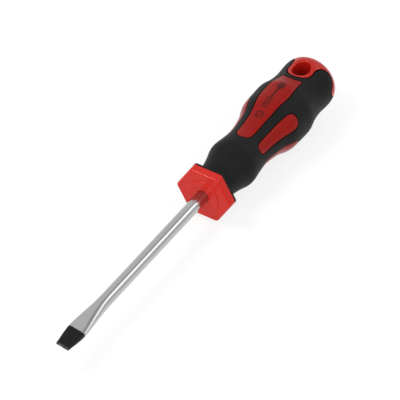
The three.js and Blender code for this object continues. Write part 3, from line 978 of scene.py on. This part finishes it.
# ---- hard butt with the hang hole ------------------------------------------
def butt():
    radius, step = 0.24, 0.9
    bl = Builder()
    loop3 = butt_loop(-0.04, 0.33)
    loop2 = CP.to2d(loop3)
    pole = np.array([PROFILE[-1][0], 0, 0])
    # inwards: towards the pole at the lobe's end
    kq = int(np.argmin(np.abs(loop3[:, 2]) + (loop3[:, 1] < 0) * 99))
    inner2, i3, ni, m = loop_frame(CP, loop2, lambda mm, b3: mm[kq, 0] > 0, radius)
    # mouths of the hang hole, on top and underneath
    mouth = 1.1
    n_h = 96
    th = np.linspace(0, 2 * math.pi, n_h, endpoint=False)

    def on_top(rho, sign):
        x, y = HOLE_X + HOLE_SHIFT + rho * HOLE_STRETCH * np.cos(th), rho * np.sin(th)
        z = np.sqrt(np.maximum(r_at(x) ** 2 - y**2, 0)) * sign
        return np.stack([x, y, z], -1)

    mouths = [(s, CP.to2d(rolled(on_top(HOLE_R + mouth, s)))) for s in (1, -1)]
    pts, edges = [], []

    def put(a):
        start = sum(len(p) for p in pts)
        pts.append(np.asarray(a, float))
        return np.arange(start, start + len(a))

    i_loop = put(inner2)
    edges.append(ring_edges(i_loop))
    i_m = []
    for s, c in mouths:
        ids = put(c)
        i_m.append(ids)
        edges.append(ring_edges(ids))
    lim = np.abs(inner2).max()
    grid = hex_grid(np.array([-lim, -lim]), np.array([lim, lim]), step)
    grid = grid[inside(inner2, grid)]
    for s, c in mouths:
        grid = grid[~inside(c, grid)]
        grid = grid[dist_to(c, grid) > step * 0.4]
    grid = grid[dist_to(inner2, grid) > step * 0.4]
    put(grid)
    P = np.vstack(pts)

    def keep(c):
        ok = inside(inner2, c)
        for s, h in mouths:
            ok &= ~inside(h, c)
        return ok

    tri = triangulate(P, np.vstack(edges), keep)
    p3, n3 = CP.to3d(P)
    top = bl.add(p3, n3)
    bl.tris(top[tri])
    low = fillet_rings(bl, i3, ni, m, radius, 5, SKIN + 0.25, top[i_loop], False)
    # bed under the sleeve's lobes, back to the flat front of the butt
    x_flat = 79.35
    sg = float(sigma_at(x_flat))
    n_o = 120
    ao = np.linspace(0, 2 * math.pi, n_o, endpoint=False)
    outer = np.stack([sg * np.cos(ao), sg * np.sin(ao)], -1)
    bpts = np.vstack([loop2, outer])
    i_in, i_out = np.arange(len(loop2)), np.arange(len(loop2), len(loop2) + n_o)
    g2 = hex_grid(np.array([-sg, -sg]), np.array([sg, sg]), 1.6)
    g2 = g2[inside(outer, g2) & ~inside(loop2, g2)]
    g2 = g2[(dist_to(outer, g2) > 0.8) & (dist_to(loop2, g2) > 0.8)]
    bpts = np.vstack([bpts, g2])
    btri = triangulate(bpts, np.vstack([ring_edges(i_in), ring_edges(i_out)]), lambda c: inside(outer, c) & ~inside(loop2, c))
    b3, bn = CP.to3d(bpts, SKIN + 0.25)
    bed = bl.add(b3, bn)
    bl.tris(bed[btri])
    bl.bridge(low, bed[i_in], False)
    cap = b3[i_out].copy()
    cap_ids = bl.add(cap, np.tile([-1.0, 0, 0], (n_o, 1)))
    bl.bridge(bed[i_out], cap_ids, True)
    bl.fan(cap_ids, [float(cap[:, 0].mean()), 0, 0], [-1.0, 0, 0], True)
    # the bore, from mouth to mouth
    rings = []
    for (s, c), ids in zip(mouths, i_m):
        prev = top[ids]
        for k in range(1, 9):
            a = math.pi / 2 * k / 8
            rho = HOLE_R + mouth * (1 - math.sin(a))
            p = on_top(rho, s)
            p[:, 2] -= s * mouth * (1 - math.cos(a))
            nz = s * math.cos(a)
            n = np.stack([-np.cos(th) * math.sin(a), -np.sin(th) * math.sin(a), np.full(n_h, nz)], -1)
            idr = bl.add(rolled(p), rolled(n))
            bl.bridge(prev, idr, s < 0)
            prev = idr
        rings.append((prev, p))
    (a_id, a_p), (b_id, b_p) = rings
    prev = a_id
    for w in (0.2, 0.4, 0.6, 0.8):
        p = a_p * (1 - w) + b_p * w
        n = np.stack([-np.cos(th), -np.sin(th), np.zeros(n_h)], -1)
        ids = bl.add(rolled(p), rolled(n))
        bl.bridge(prev, ids)
        prev = ids
    bl.bridge(prev, b_id)
    return bl


# ---- hexagonal guard -------------------------------------------------------
def guard():
    bl = Builder()
    f = 1.0
    boss_r, boss_f = 8.6, 0.5
    rear = FLANGE_FRONT - 0.06
    bore = 3.27
    hn = hex_normals(GUARD_AF, HEX_CORNER)
    flat = np.tile([-1.0, 0, 0], (N_HEX, 1))

    def radial(nx, nr):
        return np.stack([np.full(N_HEX, nx), nr * np.cos(PSI_HEX), nr * np.sin(PSI_HEX)], -1)

    rings = []
    rings.append(bl.add(circle_points(3.0, bore), -radial(0, 1)))
    rings.append(bl.add(circle_points(-BOSS_HEIGHT + 0.25, bore), -radial(0, 1)))
    for k in range(1, 5):
        a = math.pi / 2 * k / 4
        rings.append(bl.add(circle_points(-BOSS_HEIGHT + 0.22 * (1 - math.sin(a)), bore + 0.22 * (1 - math.cos(a))), radial(-math.sin(a), -math.cos(a))))
    for r in (4.4, 5.4, 6.4, 7.4):
        rings.append(bl.add(circle_points(-BOSS_HEIGHT, r), flat))
    for k in range(0, 6):
        a = math.pi / 2 * k / 5 * 0.86
        rings.append(bl.add(circle_points(-BOSS_HEIGHT + boss_f * (1 - math.cos(a)), boss_r - boss_f + boss_f * math.sin(a)), radial(-math.cos(a), math.sin(a))))
    for k in range(1, 5):
        a = math.pi / 2 * 0.86 * (1 - k / 4)
        h = 0.22
        x_s = -h * (1 - math.cos(a))
        rings.append(bl.add(circle_points(x_s, boss_r + 0.02 + h * (1 - math.sin(a))), radial(-math.cos(a), math.sin(a))))
    base = hex_points(0, GUARD_AF - 2 * f, HEX_CORNER - f * 0.6)
    rb = np.hypot(base[:, 1], base[:, 2])
    r0 = boss_r + 0.24
    for w in (0.2, 0.4, 0.6, 0.8, 1.0):
        r = r0 + (rb - r0) * w
        rings.append(bl.add(np.stack([np.zeros(N_HEX), r * np.cos(PSI_HEX), r * np.sin(PSI_HEX)], -1), flat))
    for k in range(1, 9):
        a = math.pi / 2 * k / 8
        g = GUARD_AF - 2 * f + 2 * f * math.sin(a)
        c = HEX_CORNER - f * 0.6 + f * 0.6 * math.sin(a)
        rings.append(bl.add(hex_points(f - f * math.cos(a), g, c), hn * math.sin(a) + np.array([-math.cos(a), 0, 0])))
    f2 = 0.35
    for k in range(0, 7):
        a = math.pi / 2 * (1 - k / 6)
        g = GUARD_AF - 2 * f2 + 2 * f2 * math.sin(a)
        c = HEX_CORNER - f2 + f2 * math.sin(a)
        rings.append(bl.add(hex_points(rear - f2 + f2 * math.cos(a), g, c), hn * math.sin(a) + np.array([math.cos(a), 0, 0])))
    for r in (10.0, 6.5):
        rings.append(bl.add(circle_points(rear, r), -flat))
    rings.append(bl.add(circle_points(3.0, 6.5), -radial(0, 1)))
    for a, b in zip(rings, rings[1:]):
        bl.bridge(a, b)
    bl.bridge(rings[-1], rings[0])
    return bl


# ---- blade -----------------------------------------------------------------
def blade():
    rs = (b_hi.z - b_lo.z) * 500
    # (distance from the working edge, half-width, half-thickness, squareness)
    st = [
        (0.0, 3.28, 0.56, 9), (0.6, 3.44, 0.60, 9), (2.5, 3.62, 0.76, 8), (5.0, 3.95, 0.98, 7), (8.0, 4.28, 1.24, 6), (10.0, 4.45, 1.42, 5.4),
        (12.5, 4.55, 1.64, 4.8), (16.0, 4.44, 1.94, 4.0), (21.0, 4.08, 2.36, 3.1), (27.0, 3.65, 2.82, 2.45), (32.0, 3.36, 3.12, 2.12),
        (36.0, 3.27, 3.24, 2.02), (39.0, 3.25, 3.25, 2.0), (44.0, 3.25, 3.25, 2.0),
    ]
    t = np.array(st)
    q = np.concatenate([np.linspace(0.55, 12, 36), np.linspace(12.4, 44, 70)])
    hw, ht, pw = (spline(t[:, 0], t[:, k])(q)[0] for k in (1, 2, 3))
    n = 128
    bl = Builder()
    roll = math.radians(9.5)
    cr, sr = math.cos(roll), math.sin(roll)

    def section(x, w, h, p):
        # points spread evenly round the outline, so that square corners stay fine
        a = np.linspace(0, 2 * math.pi, 4000, endpoint=False)
        c, s = np.cos(a), np.sin(a)
        y = w * np.sign(c) * np.abs(c) ** (2 / p)
        z = h * np.sign(s) * np.abs(s) ** (2 / p)
        e = np.hypot(np.diff(np.append(y, y[0])), np.diff(np.append(z, z[0])))
        d = np.concatenate([[0], np.cumsum(e)])
        u = np.linspace(0, d[-1], n, endpoint=False)
        yy, zz = np.interp(u, d[:-1], y), np.interp(u, d[:-1], z)
        y2, z2 = yy * cr - zz * sr, yy * sr + zz * cr
        return np.stack([np.full(n, x), y2, z2], -1)

    secs = []
    # small radius round the working edge
    for k in range(0, 5):
        a = math.pi / 2 * k / 4
        rr = 0.16
        secs.append(section(TIP + rr * (1 - math.sin(a)), hw[0] - rr * (1 - math.cos(a)), ht[0] - rr * (1 - math.cos(a)), pw[0])[None])
    secs = secs[::-1]
    secs = [secs[i] for i in range(len(secs))]
    rings = [s[0] for s in secs]
    rings = sorted(rings, key=lambda s: s[0, 0])
    rings += [section(TIP + a, b, c, d) for a, b, c, d in zip(q, hw, ht, pw)]
    for x in np.concatenate([np.arange(TIP + 48, -2, 4.0), [-0.6, 0.5, 4, 10, 20, 30, 33]]):
        rings.append(section(x, rs, rs, 2))
    for x, w, h, p in [(34.5, 3.7, 2.8, 2.3), (36, 4.7, 2.2, 2.6), (42, 4.7, 2.2, 2.6), (43.5, 3.7, 2.8, 2.3), (45, rs, rs, 2), (48, rs, rs, 2), (49.5, 3.7, 2.8, 2.3), (51, 4.7, 2.2, 2.6), (57, 4.7, 2.2, 2.6), (58.5, 3.7, 2.8, 2.3), (60, rs, rs, 2), (65, rs, rs, 2), (66, rs - 0.9, rs - 0.9, 2)]:
        rings.append(section(x, w, h, p))
    arr = np.array(rings)
    dx = np.gradient(arr, axis=0)
    dn = np.roll(arr, -1, 1) - np.roll(arr, 1, 1)
    nn = np.cross(dn, dx)
    nn /= np.maximum(np.linalg.norm(nn, axis=2, keepdims=True), 1e-12)
    out = arr.copy()
    out[:, :, 0] = 0
    sign = np.sign(np.sum(nn[20] * out[20]))
    nn *= sign
    ids = [bl.add(arr[i], nn[i]) for i in range(len(arr))]
    for a, b in zip(ids, ids[1:]):
        bl.bridge(a, b)
    # flat ends
    first = bl.add(arr[0], np.tile([-1.0, 0, 0], (n, 1)))
    bl.bridge(first, ids[0])
    bl.fan(first, [arr[0][:, 0].mean(), 0, 0], [-1, 0, 0], True)
    lastr = bl.add(arr[-1], np.tile([1.0, 0, 0], (n, 1)))
    bl.bridge(ids[-1], lastr)
    bl.fan(lastr, [arr[-1][:, 0].mean(), 0, 0], [1, 0, 0])
    return bl


add_piece("butt_cap_moulding", butt().mesh("butt_cap_mesh"), MAT_BUTT_PAINTED_SHADE, ["butt_cap"])
add_piece("hex_guard_moulding", guard().mesh("hex_guard_mesh"), MAT_RED, ["hex_guard"])
add_piece("blade_forging", blade().mesh("blade_mesh"), MAT_STEEL, ["blade"])

core = frame["nodes"]["handle_core"]
core.data.materials.clear()
core.data.materials.append(core_material())

# ---- floor -----------------------------------------------------------------
fm = bpy.data.meshes.new("floor")
L = 3.0
fm.from_pydata([(-L, -L, 0), (L, -L, 0), (L, L, 0), (-L, L, 0)], [], [(0, 1, 2, 3)])
floor = bpy.data.objects.new("floor", fm)
bpy.context.scene.collection.objects.link(floor)
mf, nt, bf = new_material("pale_floor")
bf.inputs["Base Color"].default_value = (0.18, 0.18, 0.18, 1)
bf.inputs["Emission Color"].default_value = (1, 1, 1, 1)
bf.inputs["Emission Strength"].default_value = 0.80  # a lit acrylic table
bf.inputs["Roughness"].default_value = 0.9
bf.inputs["Specular IOR Level"].default_value = 0.1
fm.materials.append(mf)
floor.location.z = -0.0003


# ---- light -----------------------------------------------------------------
def area(name, where, target, size, power, colour=(1, 1, 1)):
    l = bpy.data.lights.new(name, "AREA")
    l.shape = "RECTANGLE"
    l.size, l.size_y = size
    l.energy = power
    l.color = colour
    o = bpy.data.objects.new(name, l)
    bpy.context.scene.collection.objects.link(o)
    o.location = where
    o.rotation_mode = "QUATERNION"
    o.rotation_quaternion = (Vector(where) - Vector(target)).to_track_quat("Z", "Y")
    return o


CENTRE = Vector((0, 0, 0.016))


def towards(d, dist):
    return CENTRE + Vector(d).normalized() * dist


# long soft box on the near side, a broad one towards the blade, a small one overhead
area("strip", towards((0.62, -0.45, 0.64), 1.05), CENTRE, (1.3, 0.27), 1.7)
area("broad", towards((-0.80, -0.34, 0.50), 1.25), CENTRE, (0.9, 0.7), 5.2)
area("overhead", towards((-0.34, 0.39, 0.86), 1.1), CENTRE, (0.30, 0.30), 4.6)

w = bpy.data.worlds.new("studio")
bpy.context.scene.world = w
w.use_nodes = True
wn = w.node_tree
wn.nodes.clear()
wo = wn.nodes.new("ShaderNodeOutputWorld")
bg = wn.nodes.new("ShaderNodeBackground")
tc = wn.nodes.new("ShaderNodeTexCoord")
sp = wn.nodes.new("ShaderNodeSeparateXYZ")
wn.links.new(tc.outputs["Generated"], sp.inputs[0])
# a dark gap between the ceiling's diffusers, running along the tool, and a dark skirting on the near side
slope = math_node(wn, "DIVIDE", sp.outputs[1], math_node(wn, "MAXIMUM", sp.outputs[2], 0.05))
gap = ramp(wn, [(0.0, (1, 1, 1)), (0.36, (1, 1, 1)), (0.41, (0.50, 0.50, 0.51)), (0.49, (0.50, 0.50, 0.51)), (0.54, (1, 1, 1))])
wn.links.new(map_range(wn, slope, -1, 1, 0, 1), gap.inputs[0])
high = map_range(wn, sp.outputs[2], 0.45, 0.62, 0, 1)
level = mix_rgb(wn, high, (1, 1, 1), gap.outputs[0])
skirt = ramp(wn, [(0.0, (1, 1, 1)), (0.47, (1, 1, 1)), (0.50, (0.62, 0.62, 0.63)), (0.55, (0.62, 0.62, 0.63)), (0.60, (1, 1, 1))])
wn.links.new(map_range(wn, sp.outputs[2], -1, 1, 0, 1), skirt.inputs[0])
near = map_range(wn, sp.outputs[1], -0.55, -0.2, 1, 0)
level2 = mix_rgb(wn, near, (1, 1, 1), skirt.outputs[0])
mul = wn.nodes.new("ShaderNodeMix")
mul.data_type = "RGBA"
mul.blend_type = "MULTIPLY"
mul.inputs[0].default_value = 1.0
wn.links.new(level, mul.inputs[6])
wn.links.new(level2, mul.inputs[7])
wn.links.new(mul.outputs[2], bg.inputs[0])
bg.inputs[1].default_value = 0.84
wn.links.new(bg.outputs[0], wo.inputs[0])

# ---- camera ----------------------------------------------------------------
AZ, EL, ROLL, DIST, SCALE, CX_PX, CY_PX = -57.57, 42.84, -0.04, 2500.0, 2.127, 203.13, 195.77
cam_data = bpy.data.cameras.new("camera")
cam = bpy.data.objects.new("camera", cam_data)
bpy.context.scene.collection.objects.link(cam)
bpy.context.scene.camera = cam
A, E, R = map(math.radians, (AZ, EL, ROLL))
back = Vector((math.sin(A) * math.cos(E), -math.cos(A) * math.cos(E), math.sin(E)))
right = Vector((math.cos(A), math.sin(A), 0))
up = back.cross(right)
r2 = right * math.cos(R) + up * math.sin(R)
u2 = -right * math.sin(R) + up * math.cos(R)
guard_front = Vector((ZERO_X, 0, AXIS_Z)) / 1000
f_px = SCALE * DIST
# the guard's front sits a few pixels off the middle of the picture: slide the camera, don't turn it
dx, dy = (CX_PX - 200.0) / SCALE / 1000, (200.0 - CY_PX) / SCALE / 1000
cam.location = guard_front + back * (DIST / 1000) - r2 * dx - u2 * dy
rot = Matrix((r2, u2, back)).transposed()
cam.rotation_mode = "QUATERNION"
cam.rotation_quaternion = rot.to_quaternion()
cam_data.sensor_fit = "HORIZONTAL"
cam_data.sensor_width = 36
cam_data.lens = 36 * f_px / 400
cam_data.clip_start, cam_data.clip_end = 0.05, 20

sc = bpy.context.scene
sc.view_settings.view_transform = "Standard"
sc.view_settings.look = "None"
